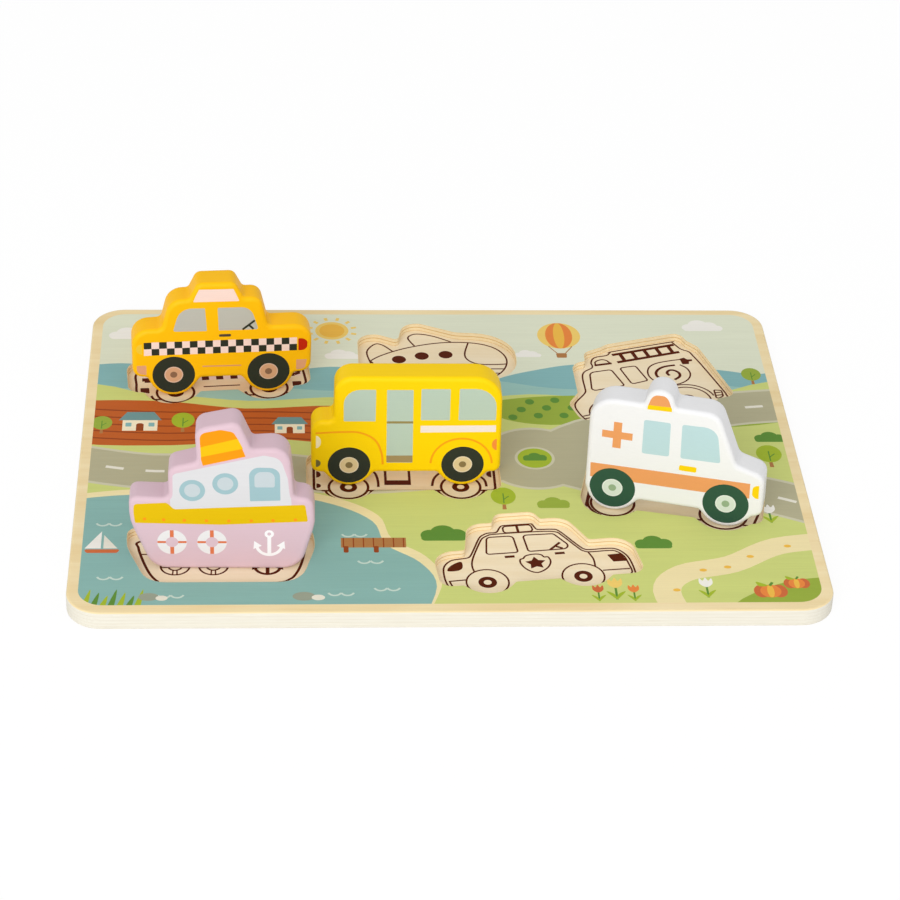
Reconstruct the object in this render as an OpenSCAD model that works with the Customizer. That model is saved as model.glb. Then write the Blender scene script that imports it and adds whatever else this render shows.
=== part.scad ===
/* [Board] */
// Length of the board, left to right
board_length = 300; // [294:1:340]
// Width of the board, front to back
board_width = 225; // [222:1:260]
// Radius of the board's four corners
board_corner = 14; // [4:1:22]
// Thickness of the upper panel, which has the cut-outs
frame_thickness = 3.4; // [2.6:0.1:9]
// Thickness of the plain panel glued under it
backing_thickness = 4.4; // [2:0.1:9]
// Gap between a vehicle lying in its cut-out and the wall round it
fit_gap = 1; // [0.4:0.1:1.2]

/* [Vehicles] */
// Thickness of every vehicle, front face to back face
vehicle_depth = 12.5; // [8:0.5:16]
// Rounding of the vehicles' long edges
edge_rounding = 1.8; // [0.5:0.1:2.4]
// Gap under a vehicle that stands in its cut-out
rest_gap = 0.1; // [0.05:0.05:0.5]

/* [Taxi] */
// Length of the taxi, bumper to bumper
taxi_length = 76.6; // [66:0.1:82]
// Turn of its cut-out from the board's long side, in degrees
taxi_angle = 5; // [0:1:10]
// How far behind its cut-out's base line the taxi stands
taxi_back = 9.3; // [6:0.1:18]
// How far it stands to the right
taxi_offset = 0.9; // [-1:0.1:1]
// How far it stands turned in the cut-out, in degrees
taxi_skew_angle = -0.9; // [-2:0.1:2]

/* [Bus] */
// Length of the bus, bumper to bumper
bus_length = 78; // [66:0.1:84]
// Turn of its cut-out, in degrees
bus_angle = 0; // [-4:1:4]
// How far behind its cut-out's base line the bus stands
bus_back = 13.1; // [8:0.1:18]
// How far it stands to the right
bus_offset = 0.7; // [-1:0.1:1]
// How far it stands turned in the cut-out, in degrees
bus_skew_angle = 0; // [-2:0.1:2]

/* [Ship] */
// Length of the ship, stem to stern
ship_length = 71.9; // [62:0.1:76]
// Turn of its cut-out, in degrees
ship_angle = 0; // [-4:1:4]
// How far behind its cut-out's base line the ship stands
ship_back = 11.6; // [8:0.1:20]
// How far it stands to the right
ship_offset = 1; // [-1:0.1:1]
// How far it stands turned in the cut-out, in degrees
ship_skew_angle = -0.6; // [-2:0.1:2]

/* [Ambulance] */
// Length of the ambulance, bumper to bumper
ambulance_length = 73.2; // [62:0.1:78]
// Turn of its cut-out, in degrees
ambulance_angle = -12.5; // [-16:0.5:-8]
// How far behind its cut-out's base line the ambulance stands
ambulance_back = 6.7; // [5:0.1:14]
// How far it stands to the right
ambulance_offset = 0.5; // [-1:0.1:1]
// How far it stands turned in the cut-out, in degrees
ambulance_skew_angle = -2.5; // [-3:0.1:2]

/* [Empty cut-outs] */
// Length of the police car that fits the front cut-out
police_length = 79.7; // [66:0.1:84]
// Turn of its cut-out, in degrees
police_angle = 6.5; // [2:0.5:10]
// Length of the aeroplane that fits the rear middle cut-out
plane_length = 67.1; // [56:0.1:74]
// Turn of its cut-out, in degrees
plane_angle = 0; // [-6:1:6]
// Length of the fire engine that fits the rear right cut-out
fire_length = 69.8; // [60:0.1:76]
// Turn of its cut-out, in degrees
fire_angle = 16.5; // [12:0.5:20]

/* [Hidden] */

// Largest turn between two neighbouring points of a rounded corner, in degrees
arc_step_angle = 12;
// Facets across each rounded long edge of a vehicle
rim_steps = 4;
// Height of the middle point of a vehicle's flat faces, as a share of its length. Every
// outline is in sight from there, so the triangles of a face can all meet in that point.
middle_share = 0.36;
$fn = 96;

// Where each cut-out's base line has its middle, as shares of the board's length and width
taxi_place_shares = [-0.308, 0.169];
bus_place_shares = [-0.054, -0.158];
ship_place_shares = [-0.298, -0.406];
ambulance_place_shares = [0.296, -0.235];
police_place_shares = [0.112, -0.432];
plane_place_shares = [0, 0.204];
fire_place_shares = [0.315, 0.112];

// Where each vehicle stands in its cut-out: to the right, to the back, and its extra turn
taxi_stance = [taxi_offset, taxi_back, taxi_skew_angle];
bus_stance = [bus_offset, bus_back, bus_skew_angle];
ship_stance = [ship_offset, ship_back, ship_skew_angle];
ambulance_stance = [ambulance_offset, ambulance_back, ambulance_skew_angle];

// Each outline is a belt drawn tight round circles, taken in turn from the lower left
// towards the lower right. A row is a circle: how far along, how far up and its radius,
// all as shares of the vehicle's length. A radius below zero is a hollow corner, whose
// circle lies outside the vehicle.

taxi_shares = [
    [-0.265, 0.141, 0.141],
    [-0.100, 0.084, -0.026],
    [0.100, 0.084, -0.026],
    [0.265, 0.141, 0.141],
    [0.428, 0.097, -0.026],
    [0.443, 0.187, 0.062],
    [0.411, 0.337, 0.097],
    [0.294, 0.466, -0.033],
    [0.174, 0.559, 0.063],
    [0.149, 0.648, -0.026],
    [0.055, 0.675, 0.046],
    [-0.094, 0.675, 0.046],
    [-0.187, 0.648, -0.026],
    [-0.201, 0.522, 0.100],
    [-0.352, 0.470, -0.034],
    [-0.394, 0.337, 0.097],
    [-0.434, 0.183, 0.057],
    [-0.428, 0.098, -0.026],
];

bus_shares = [
    [-0.300, 0.136, 0.136],
    [-0.153, 0.059, -0.026],
    [0.150, 0.059, -0.026],
    [0.297, 0.136, 0.136],
    [0.440, 0.064, -0.019],
    [0.454, 0.128, 0.044],
    [0.346, 0.529, 0.147],
    [-0.286, 0.583, 0.094],
    [-0.414, 0.440, -0.032],
    [-0.436, 0.344, 0.064],
    [-0.454, 0.129, 0.045],
    [-0.442, 0.064, -0.019],
];

ship_shares = [
    [-0.313, 0.125, 0.125],
    [0.306, 0.132, 0.132],
    [0.207, 0.331, 0.278],
    [0.414, 0.409, 0.064],
    [0.403, 0.506, -0.031],
    [0.250, 0.693, 0.103],
    [0.164, 0.818, -0.028],
    [0.039, 0.898, 0.058],
    [-0.089, 0.860, 0.067],
    [-0.179, 0.727, -0.028],
    [-0.249, 0.620, 0.056],
    [-0.338, 0.503, -0.031],
    [-0.473, 0.430, 0.047],
    [-0.214, 0.374, 0.306],
];

ambulance_shares = [
    [-0.324, 0.149, 0.149],
    [-0.164, 0.064, -0.027],
    [0.149, 0.064, -0.027],
    [0.309, 0.149, 0.149],
    [0.469, 0.072, -0.020],
    [0.462, 0.145, 0.051],
    [0.437, 0.314, 0.071],
    [0.389, 0.459, -0.055],
    [0.157, 0.631, 0.098],
    [0.004, 0.750, -0.020],
    [-0.101, 0.750, 0.079],
    [-0.204, 0.750, -0.020],
    [-0.342, 0.590, 0.139],
    [-0.426, 0.158, 0.055],
];

police_shares = [
    [-0.228, 0.125, 0.125],
    [-0.092, 0.053, -0.025],
    [0.120, 0.053, -0.025],
    [0.256, 0.125, 0.125],
    [0.394, 0.055, -0.023],
    [0.490, 0.128, 0.050],
    [0.434, 0.257, 0.098],
    [0.345, 0.393, -0.038],
    [0.176, 0.470, 0.090],
    [0.125, 0.583, -0.023],
    [0.058, 0.592, 0.035],
    [-0.070, 0.592, 0.035],
    [-0.138, 0.577, -0.023],
    [-0.188, 0.479, 0.075],
    [-0.323, 0.372, -0.035],
    [-0.368, 0.247, 0.090],
    [-0.408, 0.128, 0.050],
    [-0.364, 0.055, -0.023],
];

plane_shares = [
    [-0.134, 0.075, 0.075],
    [-0.030, 0.075, 0.075],
    [0.122, 0.075, -0.045],
    [0.306, 0.344, 0.224],
    [0.262, 0.403, 0.268],
    [0.194, 0.823, -0.146],
    [-0.095, 0.700, 0.090],
    [-0.241, 0.638, -0.042],
    [-0.382, 0.563, 0.090],
    [-0.373, 0.277, 0.098],
    [-0.261, 0.095, -0.045],
];

fire_shares = [
    [-0.222, 0.143, 0.143],
    [-0.063, 0.062, -0.029],
    [0.121, 0.062, -0.029],
    [0.279, 0.143, 0.143],
    [0.437, 0.065, -0.026],
    [0.495, 0.134, 0.043],
    [0.456, 0.645, 0.080],
    [0.547, 0.766, -0.054],
    [0.447, 0.798, 0.043],
    [0.021, 0.777, 0.064],
    [-0.054, 0.854, -0.037],
    [-0.117, 0.744, 0.057],
    [-0.215, 0.725, -0.032],
    [-0.226, 0.622, 0.071],
    [-0.404, 0.394, -0.043],
    [-0.393, 0.248, 0.069],
    [-0.410, 0.138, 0.047],
    [-0.380, 0.065, -0.026],
];

// Heading of the straight run between two circles of the belt
function run_heading(from, to) =
    let(way = [to.x - from.x, to.y - from.y])
    atan2(way.y, way.x) + asin((from.z - to.z) / norm(way));

// The same turn, taken the short way round
function short_way(turn) = (turn + 540) % 360 - 180;

// Points of the belt round the circles, every circle grown or shrunk by the same length
function belt(circles, grow = 0) =
    let(count = len(circles))
    [
        for (i = [0 : count - 1])
            let(
                here = circles[i],
                arriving = run_heading(circles[(i + count - 1) % count], here),
                leaving = run_heading(here, circles[(i + 1) % count]),
                turn = short_way(leaving - arriving),
                steps = max(1, ceil(abs(turn) / arc_step_angle)),
                radius = here.z + grow
            )
            for (k = [0 : steps])
                let(heading = arriving + turn * k / steps)
                [here.x + radius * sin(heading), here.y - radius * cos(heading)]
    ];

// Inset and depth of the rings that round one long edge, from the face inwards
function rim_rings() = [
    for (k = [0 : rim_steps])
        let(angle = 90 * k / rim_steps)
        [edge_rounding * (1 - sin(angle)), edge_rounding * (1 - cos(angle))]
];

// A block of wood cut to an outline, standing up, with both long edges rounded
module block(circles, middle_height) {
    front = rim_rings();
    back = [for (k = [rim_steps : -1 : 0]) [front[k].x, vehicle_depth - front[k].y]];
    rings = concat(front, back);
    count = len(belt(circles));
    last = len(rings) - 1;
    edge_points = [
        for (ring = rings)
            for (p = belt(circles, -ring.x))
                [p.x, ring.y, p.y]
    ];
    front_middle = len(edge_points);
    back_middle = front_middle + 1;
    points = concat(edge_points, [[0, 0, middle_height], [0, vehicle_depth, middle_height]]);
    front_face = [
        for (i = [0 : count - 1])
            [front_middle, (i + 1) % count, i]
    ];
    back_face = [
        for (i = [0 : count - 1])
            [back_middle, last * count + i, last * count + (i + 1) % count]
    ];
    sides = [
        for (j = [0 : last - 1])
            for (i = [0 : count - 1])
                let(next = (i + 1) % count)
                [j * count + i, j * count + next, (j + 1) * count + next, (j + 1) * count + i]
    ];
    polyhedron(points, concat(front_face, back_face, sides));
}

// Where a cut-out's base line has its middle on the board
function place(shares) = [shares.x * board_length, shares.y * board_width];

// One cut-out, a little larger than the vehicle that lies in it
module cut_out(shares, length, place_shares, turn) {
    translate(place(place_shares))
        rotate(turn)
            polygon(belt(shares * length, fit_gap));
}

// A vehicle standing up on the floor of its cut-out
module standing(shares, length, place_shares, turn, stance) {
    translate(concat(place(place_shares), backing_thickness + rest_gap))
        rotate(turn)
            translate([stance.x, stance.y, 0])
                rotate(stance.z)
                    block(shares * length, middle_share * length);
}

// Outline of both panels
module board_outline() {
    across = board_length / 2 - board_corner;
    along = board_width / 2 - board_corner;
    square([board_length, 2 * along], center = true);
    square([2 * across, board_width], center = true);
    for (x = [-across, across])
        for (y = [-along, along])
            translate([x, y])
                circle(board_corner);
}

module frame_panel() {
    color([0.88, 0.83, 0.66])
        translate([0, 0, backing_thickness])
            linear_extrude(frame_thickness)
                difference() {
                    board_outline();
                    cut_out(taxi_shares, taxi_length, taxi_place_shares, taxi_angle);
                    cut_out(bus_shares, bus_length, bus_place_shares, bus_angle);
                    cut_out(ship_shares, ship_length, ship_place_shares, ship_angle);
                    cut_out(ambulance_shares, ambulance_length, ambulance_place_shares, ambulance_angle);
                    cut_out(police_shares, police_length, police_place_shares, police_angle);
                    cut_out(plane_shares, plane_length, plane_place_shares, plane_angle);
                    cut_out(fire_shares, fire_length, fire_place_shares, fire_angle);
                }
}

module backing_panel() {
    color([0.93, 0.87, 0.73])
        linear_extrude(backing_thickness)
            board_outline();
}

module taxi() {
    color([1, 0.72, 0.12])
        standing(taxi_shares, taxi_length, taxi_place_shares, taxi_angle, taxi_stance);
}

module bus() {
    color([0.97, 0.84, 0.05])
        standing(bus_shares, bus_length, bus_place_shares, bus_angle, bus_stance);
}

module ship() {
    color([0.84, 0.74, 0.82])
        standing(ship_shares, ship_length, ship_place_shares, ship_angle, ship_stance);
}

module ambulance() {
    color([0.96, 0.96, 0.95])
        standing(
            ambulance_shares,
            ambulance_length,
            ambulance_place_shares,
            ambulance_angle,
            ambulance_stance
        );
}

frame_panel();
backing_panel();
taxi();
bus();
ship();
ambulance();
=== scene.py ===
import math

import bmesh
import bpy
from mathutils import Matrix, Vector
from mathutils.geometry import convex_hull_2d, delaunay_2d_cdt


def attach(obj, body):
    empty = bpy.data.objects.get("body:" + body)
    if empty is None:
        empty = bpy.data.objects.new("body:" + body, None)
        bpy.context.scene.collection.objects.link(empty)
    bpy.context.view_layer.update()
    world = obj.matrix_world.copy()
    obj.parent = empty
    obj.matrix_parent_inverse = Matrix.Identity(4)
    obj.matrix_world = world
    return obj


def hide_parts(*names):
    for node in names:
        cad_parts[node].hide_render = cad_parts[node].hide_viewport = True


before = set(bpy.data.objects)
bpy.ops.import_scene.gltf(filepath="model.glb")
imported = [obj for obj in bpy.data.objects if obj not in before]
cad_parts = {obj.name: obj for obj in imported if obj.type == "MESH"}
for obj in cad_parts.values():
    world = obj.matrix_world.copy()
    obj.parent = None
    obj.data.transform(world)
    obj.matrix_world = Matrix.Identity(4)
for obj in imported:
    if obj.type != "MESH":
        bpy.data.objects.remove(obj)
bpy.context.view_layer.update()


# Backing panel
# A plain sheet of birch plywood, glued under the printed panel. It is the floor of all seven
# cut-outs, and each floor carries a brown line drawing of the vehicle that belongs there.

mm = 0.001
weld_distance = 0.002 * mm
# The ink of wood that nothing is printed on
bare = (0, 0, 0, 0)


def srgb(red, green, blue):
    """A colour as it looks on screen, 0 to 255, turned into the renderer's own light values."""
    levels = [part / 255 for part in (red, green, blue)]
    linear = [c / 12.92 if c < 0.04045 else ((c + 0.055) / 1.055) ** 2.4 for c in levels]
    return (*linear, 1.0)


def arc(x, y, radius, start, end, steps=24):
    """Points along part of a circle, angles in degrees from the right-hand side."""
    turns = [math.radians(start + (end - start) * k / steps) for k in range(steps + 1)]
    return [(x + radius * math.cos(turn), y + radius * math.sin(turn)) for turn in turns]


def disc(x, y, across, up=None, steps=36):
    """A circle, or an ellipse where the second radius is given."""
    up = across if up is None else up
    turns = [math.tau * k / steps for k in range(steps)]
    return [(x + across * math.cos(turn), y + up * math.sin(turn)) for turn in turns]


def box(left, low, right, high):
    return [(left, low), (right, low), (right, high), (left, high)]


def half_disc(x, y, across, up):
    """Half an ellipse beside the upright line at x: to its left where across is below zero."""
    return [(x + across * a, y + up * b) for a, b in arc(0, 0, 1, -90, 90, steps=16)]


def rounded(corners, radii, steps=6):
    """A shape with straight sides whose corners are rounded, each by its own radius."""
    radii = radii if isinstance(radii, list) else [radii] * len(corners)
    points = []
    for n, radius in enumerate(radii):
        corner = Vector(corners[n])
        before = (Vector(corners[n - 1]) - corner).normalized()
        after = (Vector(corners[(n + 1) % len(corners)]) - corner).normalized()
        half = before.angle(after) / 2
        start = corner + before * radius / math.tan(half)
        end = corner + after * radius / math.tan(half)
        centre = corner + (before + after).normalized() * radius / math.sin(half)
        turn = (start - centre).angle_signed(end - centre)
        for k in range(steps + 1):
            arm = Matrix.Rotation(-turn * k / steps, 2) @ (start - centre)
            points.append(tuple(centre + arm))
    return points


def smooth(points, closed=True, steps=5):
    """A soft closed outline through the points."""
    count = len(points)
    spans = range(count if closed else count - 1)
    soft = []
    for n in spans:
        at = [(n + k) % count if closed else min(max(n + k, 0), count - 1) for k in (-1, 0, 1, 2)]
        a, b, c, d = (Vector(points[k]) for k in at)
        for k in range(steps):
            t = k / steps
            bend = (2 * a - 5 * b + 4 * c - d) * t**2 + (3 * b - a - 3 * c + d) * t**3
            soft.append(tuple(0.5 * (2 * b + (c - a) * t + bend)))
    return soft if closed else soft + [points[-1]]


def curve(points):
    """A soft line through the points, from the first to the last."""
    return smooth(points, closed=False)


def beside(points, distance, closed=False):
    """A line moved to its left-hand side by the same distance all along."""
    count = len(points)
    moved = []
    for n in range(count):
        here = Vector(points[n])
        into = here - Vector(points[n - 1])
        out = Vector(points[(n + 1) % count]) - here
        if not closed and n == 0:
            into = out
        if not closed and n == count - 1:
            out = into
        along = (into.normalized() + out.normalized()).normalized()
        aside = Vector((-along.y, along.x)) * distance
        moved.append(here + aside / max(0.5, along.dot(out.normalized())))
    return moved


def ribbon(points, width):
    """The pieces between one point and the next of a line of that width."""
    left, right = beside(points, width / 2), beside(points, -width / 2)
    quads = [(left[n], left[n + 1], right[n + 1], right[n]) for n in range(len(points) - 1)]
    return [[tuple(quad[k]) for k in convex_hull_2d(quad)] for quad in quads]


class Drawing:
    """Flat shapes of ink, in millimetres. Each shape lies over the ones before it, and one in
    the ink called bare shows the wood again."""

    def __init__(self):
        self.shapes = []

    def fill(self, ink, *outlines):
        self.shapes += [(ink, outline) for outline in outlines]

    def patch(self, ink, corners, radii):
        """A shape with rounded corners."""
        self.fill(ink, rounded(corners, radii))

    def line(self, ink, width, points):
        self.fill(ink, *ribbon(points, width))

    def loop(self, ink, width, points):
        """A line that closes on itself."""
        self.line(ink, width, points + points[:2])

    def stamp(self, drawing, x, y, turn=0, size=1):
        """Another drawing, moved, turned in degrees and resized."""
        place = Matrix.Rotation(math.radians(turn), 2) * size
        for ink, outline in drawing.shapes:
            moved = [tuple(place @ Vector(p) + Vector((x, y))) for p in outline]
            self.shapes.append((ink, moved))


def on_board(x, y, turn, height):
    """The frame of a drawing that lies flat on the board."""
    return Matrix.Translation(Vector((x, y, height)) * mm) @ Matrix.Rotation(
        math.radians(turn), 4, "Z"
    )


def take_up(piece):
    """Selects one piece and nothing else."""
    bpy.ops.object.select_all(action="DESELECT")
    piece.select_set(True)
    bpy.context.view_layer.objects.active = piece


def joined_copy(node, name):
    """A copy of a CAD node that can be reshaped, its loose triangles joined up first."""
    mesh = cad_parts[node].data.copy()
    mesh.name = name
    piece = bpy.data.objects.new(name, mesh)
    bpy.context.scene.collection.objects.link(piece)
    take_up(piece)
    bpy.ops.object.mode_set(mode="EDIT")
    bpy.ops.mesh.select_all(action="SELECT")
    bpy.ops.mesh.customdata_custom_splitnormals_clear()
    bpy.ops.mesh.remove_doubles(threshold=weld_distance)
    bpy.ops.object.mode_set(mode="OBJECT")
    mesh.materials.clear()
    return piece


def open_rims(solid):
    """The closed rows of vertices round the holes in a mesh."""
    neighbours = {}
    for edge in solid.edges:
        if edge.is_boundary:
            a, b = edge.verts
            neighbours.setdefault(a, []).append(b)
            neighbours.setdefault(b, []).append(a)
    rims = []
    seen = set()
    for start in sorted(neighbours, key=lambda vertex: vertex.index):
        if start in seen:
            continue
        rim, onward = [], [start]
        while onward:
            rim.append(onward[0])
            seen.add(onward[0])
            onward = [v for v in neighbours[rim[-1]] if v not in seen]
        rims.append(rim)
    return rims


def area(points):
    """Area of a flat outline, above zero where it runs counter-clockwise."""
    return sum(a[0] * b[1] - a[1] * b[0] for a, b in zip(points, points[1:] + points[:1])) / 2


def print_face(piece, face, drawing=None, easing=(0, 0), within=None):
    """Takes the flat face off a piece and puts it back cut along every printed shape, with
    the ink of each in the mesh. Printed outlines this fine can't be made by hand with the
    mesh operators. face is the frame of the drawing, easing the rounding of the outer edge
    and of the edges of the holes, and within the outline that the print stays inside."""
    easing_steps = 4
    flatness = 0.02 * mm
    printed = drawing.shapes if drawing else []
    to_face = face.inverted()
    solid = bmesh.new()
    solid.from_mesh(piece.data)
    ink_layer = solid.loops.layers.float_color.get("ink")
    if ink_layer is None:
        ink_layer = solid.loops.layers.float_color.new("ink")
        for part in solid.faces:
            for corner in part.loops:
                corner[ink_layer] = bare
    ahead = face.to_3x3() @ Vector((0, 0, 1))

    # The flat face comes off, and the rims that it leaves are put in order, the outer one first
    flat = [
        part for part in solid.faces
        if part.normal.dot(ahead) > 0.999
        and abs((to_face @ part.calc_center_median()).z) < flatness
    ]
    bmesh.ops.delete(solid, geom=flat, context="FACES")

    def flattened(rim):
        return [tuple((to_face @ vertex.co).xy / mm) for vertex in rim]

    rims = sorted(open_rims(solid), key=lambda rim: -abs(area(flattened(rim))))
    for n, rim in enumerate(rims):
        turns_left = area(flattened(rim)) > 0
        if turns_left != (n == 0):
            rim.reverse()
        rounding = easing[min(n, 1)]
        if not rounding:
            continue
        # The edge sinks by the rounding and gets a quarter round that ends in a new rim
        outline = flattened(rim)
        for vertex in rim:
            vertex.co -= ahead * rounding * mm
        for k in range(1, easing_steps + 1):
            angle = math.pi / 2 * k / easing_steps
            inner = beside(outline, rounding * (1 - math.cos(angle)), closed=True)
            drop = rounding * (math.sin(angle) - 1)
            ring = [solid.verts.new(face @ Vector((*(p * mm), drop * mm))) for p in inner]
            for a in range(len(rim)):
                b = (a + 1) % len(rim)
                strip = solid.faces.new((rim[a], rim[b], ring[b], ring[a]))
                for corner in strip.loops:
                    corner[ink_layer] = bare
            rim = ring
        rims[n] = rim

    # The face is cut along the rims and all printed outlines, and the last print on top counts
    outlines = [flattened(rim) for rim in rims]
    edge_count = sum(len(outline) for outline in outlines)
    if within:
        outlines.append(within)
    outlines += [outline for _, outline in printed]
    points, faces = [], []
    for outline in outlines:
        start = len(points)
        points += [Vector(p) for p in outline]
        order = list(range(start, len(points)))
        faces.append(order if area(outline) > 0 else order[::-1])
    cut = delaunay_2d_cdt(points, [], faces, 1, 1e-5)
    spots, _, triangles, from_points, _, from_faces = cut
    holes = set(range(1, len(rims)))
    fence = {len(rims)} if within else set()
    first_print = len(rims) + len(fence)

    kept = []
    for triangle, inside in zip(triangles, from_faces):
        if 0 not in inside or holes.intersection(inside):
            continue
        inks = [n for n in inside if n >= first_print]
        colour = printed[max(inks) - first_print][0] if inks else bare
        if not fence.issubset(inside):
            colour = bare
        kept.append((triangle, colour))

    # Where a printed outline crosses a rim, the rim gets a vertex too, so that no gap is left
    place_of = {}
    for spot, sources in enumerate(from_points):
        for source in sources:
            if source < edge_count:
                place_of[source] = spot
    onward = {}
    pairs = {(t[k], t[(k + 1) % 3]) for t, _ in kept for k in range(3)}
    for a, b in sorted(pairs):
        if (b, a) not in pairs:
            onward[a] = b

    vertices = {}
    source = 0
    for rim in rims:
        for n, vertex in enumerate(rim):
            vertices[place_of[source + n]] = vertex
        for n, vertex in enumerate(rim):
            here = place_of[source + n]
            goal = place_of[source + (n + 1) % len(rim)]
            end = rim[(n + 1) % len(rim)]
            while onward[here] != goal:
                here = onward[here]
                edge = solid.edges.get((vertex, end))
                _, middle = bmesh.utils.edge_split(edge, vertex, 0.5)
                middle.co = face @ Vector((*(spots[here] * mm), 0))
                vertices[here] = middle
                vertex = middle
        source += len(rim)
    for spot in sorted({spot for triangle, _ in kept for spot in triangle}):
        if spot not in vertices:
            vertices[spot] = solid.verts.new(face @ Vector((*(spots[spot] * mm), 0)))

    # The cut face goes back with its ink, and its border stays sharp
    for triangle, colour in kept:
        part = solid.faces.new([vertices[spot] for spot in triangle])
        for corner in part.loops:
            corner[ink_layer] = colour
    solid.normal_update()
    for a, b in onward.items():
        edge = solid.edges.get((vertices[a], vertices[b]))
        if edge:
            edge.smooth = False
    solid.to_mesh(piece.data)
    solid.free()


def finish_piece(piece, body, node):
    """Soft shading over the rounded edges, and the piece's place in the frame."""
    sharp_from = math.radians(35)
    take_up(piece)
    bpy.ops.object.shade_smooth_by_angle(angle=sharp_from, keep_sharp_edges=True)
    even = piece.modifiers.new("even shading", "WEIGHTED_NORMAL")
    even.keep_sharp = True
    bpy.ops.object.modifier_apply(modifier=even.name)
    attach(piece, body)
    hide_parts(node)


class Value:
    """An output of a node. Arithmetic on it adds the Math nodes that work it out."""

    def __init__(self, finish, socket):
        self.finish = finish
        self.socket = socket

    def output(self, name):
        return Value(self.finish, self.socket.node.outputs[name])

    def math(self, operation, *parts):
        return self.finish.node("ShaderNodeMath", {"operation": operation}, dict(enumerate(parts)))

    def __add__(self, other):
        return self.math("ADD", self, other)

    def __sub__(self, other):
        return self.math("SUBTRACT", self, other)

    def __rsub__(self, other):
        return self.math("SUBTRACT", other, self)

    def __mul__(self, other):
        return self.math("MULTIPLY", self, other)

    def __truediv__(self, other):
        return self.math("DIVIDE", self, other)

    def __mod__(self, other):
        return self.math("FLOORED_MODULO", self, other)

    def __abs__(self):
        return self.math("ABSOLUTE", self)

    def __gt__(self, other):
        return self.math("GREATER_THAN", self, other)

    def __lt__(self, other):
        return self.math("LESS_THAN", self, other)

    __radd__ = __add__
    __rmul__ = __mul__


class Finish:
    """A material, built node by node."""

    def __init__(self, name):
        self.material = bpy.data.materials.new(name)
        self.material.use_nodes = True
        self.tree = self.material.node_tree
        self.tree.nodes.clear()

    def node(self, kind, settings=None, sockets=None, output=0):
        made = self.tree.nodes.new(kind)
        for name, setting in (settings or {}).items():
            setattr(made, name, setting)
        for name, value in (sockets or {}).items():
            if isinstance(value, Value):
                self.tree.links.new(value.socket, made.inputs[name])
            else:
                made.inputs[name].default_value = value
        return Value(self, made.outputs[output]) if len(made.outputs) else None

    def blend(self, first, second, share, way="MIX"):
        """The first colour, with the second laid over it by that share."""
        settings = {"data_type": "RGBA", "blend_type": way}
        return self.node("ShaderNodeMix", settings, {0: share, 6: first, 7: second}, output=2)

    def shaded(self, colour, level):
        """The colour made paler or darker by a level that leaves it as it is at 1."""
        grey = self.node("ShaderNodeCombineXYZ", None, {0: level, 1: level, 2: level})
        return self.blend(colour, grey, 1.0, way="MULTIPLY")

    def grain(self, length, width, detail=3):
        """Streaks along X of that length and width in millimetres, from 0 to 1."""
        place = self.node("ShaderNodeTexCoord", output="Object")
        scale = (1 / (length * mm), 1 / (width * mm), 1 / (width * mm))
        stretched = self.node("ShaderNodeMapping", None, {"Vector": place, "Scale": scale})
        sockets = {"Vector": stretched, "Scale": 1.0, "Detail": detail, "Roughness": 0.55}
        return self.node("ShaderNodeTexNoise", None, sockets)

    def surface(self, colour, roughness, relief, depth, shine):
        """The shader and the material's output. The relief is a height from 0 to 1, worth that
        depth in millimetres, and the shine is the strength of the gloss."""
        bump = self.node(
            "ShaderNodeBump", None, {"Height": relief, "Strength": 1.0, "Distance": depth * mm}
        )
        shader = self.node("ShaderNodeBsdfPrincipled", None, {
            "Base Color": colour,
            "Roughness": roughness,
            "Normal": bump,
            "Specular IOR Level": shine,
        })
        self.node("ShaderNodeOutputMaterial", None, {"Surface": shader})
        return self.material


def plywood(name, base_height, ply, wood_light, wood_dark):
    """Birch plywood. Flat faces show long grain and any ink on it, edges show the plies, which
    are paler on the sanded outside of the board than on the walls of the cut-outs."""
    finish = Finish(name)
    streaks = finish.grain(30, 0.6)
    broad = finish.grain(60, 7, detail=2)
    tone = streaks * 0.6 + broad * 1.3 - 0.45
    wood = finish.blend(wood_light, wood_dark, tone)

    place = finish.node("ShaderNodeTexCoord", output="Object")
    spot = finish.node("ShaderNodeSeparateXYZ", None, {0: place})
    beyond_side = abs(spot.output("X")) > outside_from[0] * mm
    beyond_end = abs(spot.output("Y")) > outside_from[1] * mm
    outside = beyond_side + beyond_end > 0
    height = (spot.output("Z") - base_height * mm) / (ply * mm)
    glue = abs(height % 1 - 0.5) > 0.5 - glue_line
    edge_grain = finish.grain(14, 0.3, detail=2)
    sawn = finish.blend(wall_light, wall_dark, glue * 0.75 + edge_grain * 0.5 - 0.1)
    sanded = finish.blend(edge_light, edge_dark, glue * 0.25 + edge_grain * 1.1 - 0.25)
    edge = finish.blend(sawn, sanded, outside)
    normal = finish.node("ShaderNodeTexCoord", output="Normal")
    facing_up = abs(finish.node("ShaderNodeSeparateXYZ", None, {0: normal}).output("Z"))
    wood = finish.blend(wood, edge, facing_up < 0.6)

    ink = finish.node("ShaderNodeAttribute", {"attribute_name": "ink"})
    shown = finish.shaded(ink, streaks * 0.14 + broad * 0.08 + 0.89)
    colour = finish.blend(wood, shown, ink.output("Alpha"))
    return finish.surface(colour, 0.5 + streaks * 0.14, streaks, depth=0.04, shine=0.06)


# The holes in the board all lie nearer its middle than this, in millimetres to each side
outside_from = (138, 104)
edge_light = srgb(229, 226, 214)
edge_dark = srgb(212, 204, 185)
wall_light = srgb(249, 235, 200)
wall_dark = srgb(217, 178, 110)
# The share of a ply that is dark with glue, on each side of its joint
glue_line = 0.11
# The ink of the line drawings, the widths of their fine and bold lines, and the height at
# which most of the vehicles have their axles
line_brown = srgb(86, 29, 7)
fine, bold = 0.75, 1.1
axle_height = 12.5


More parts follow.
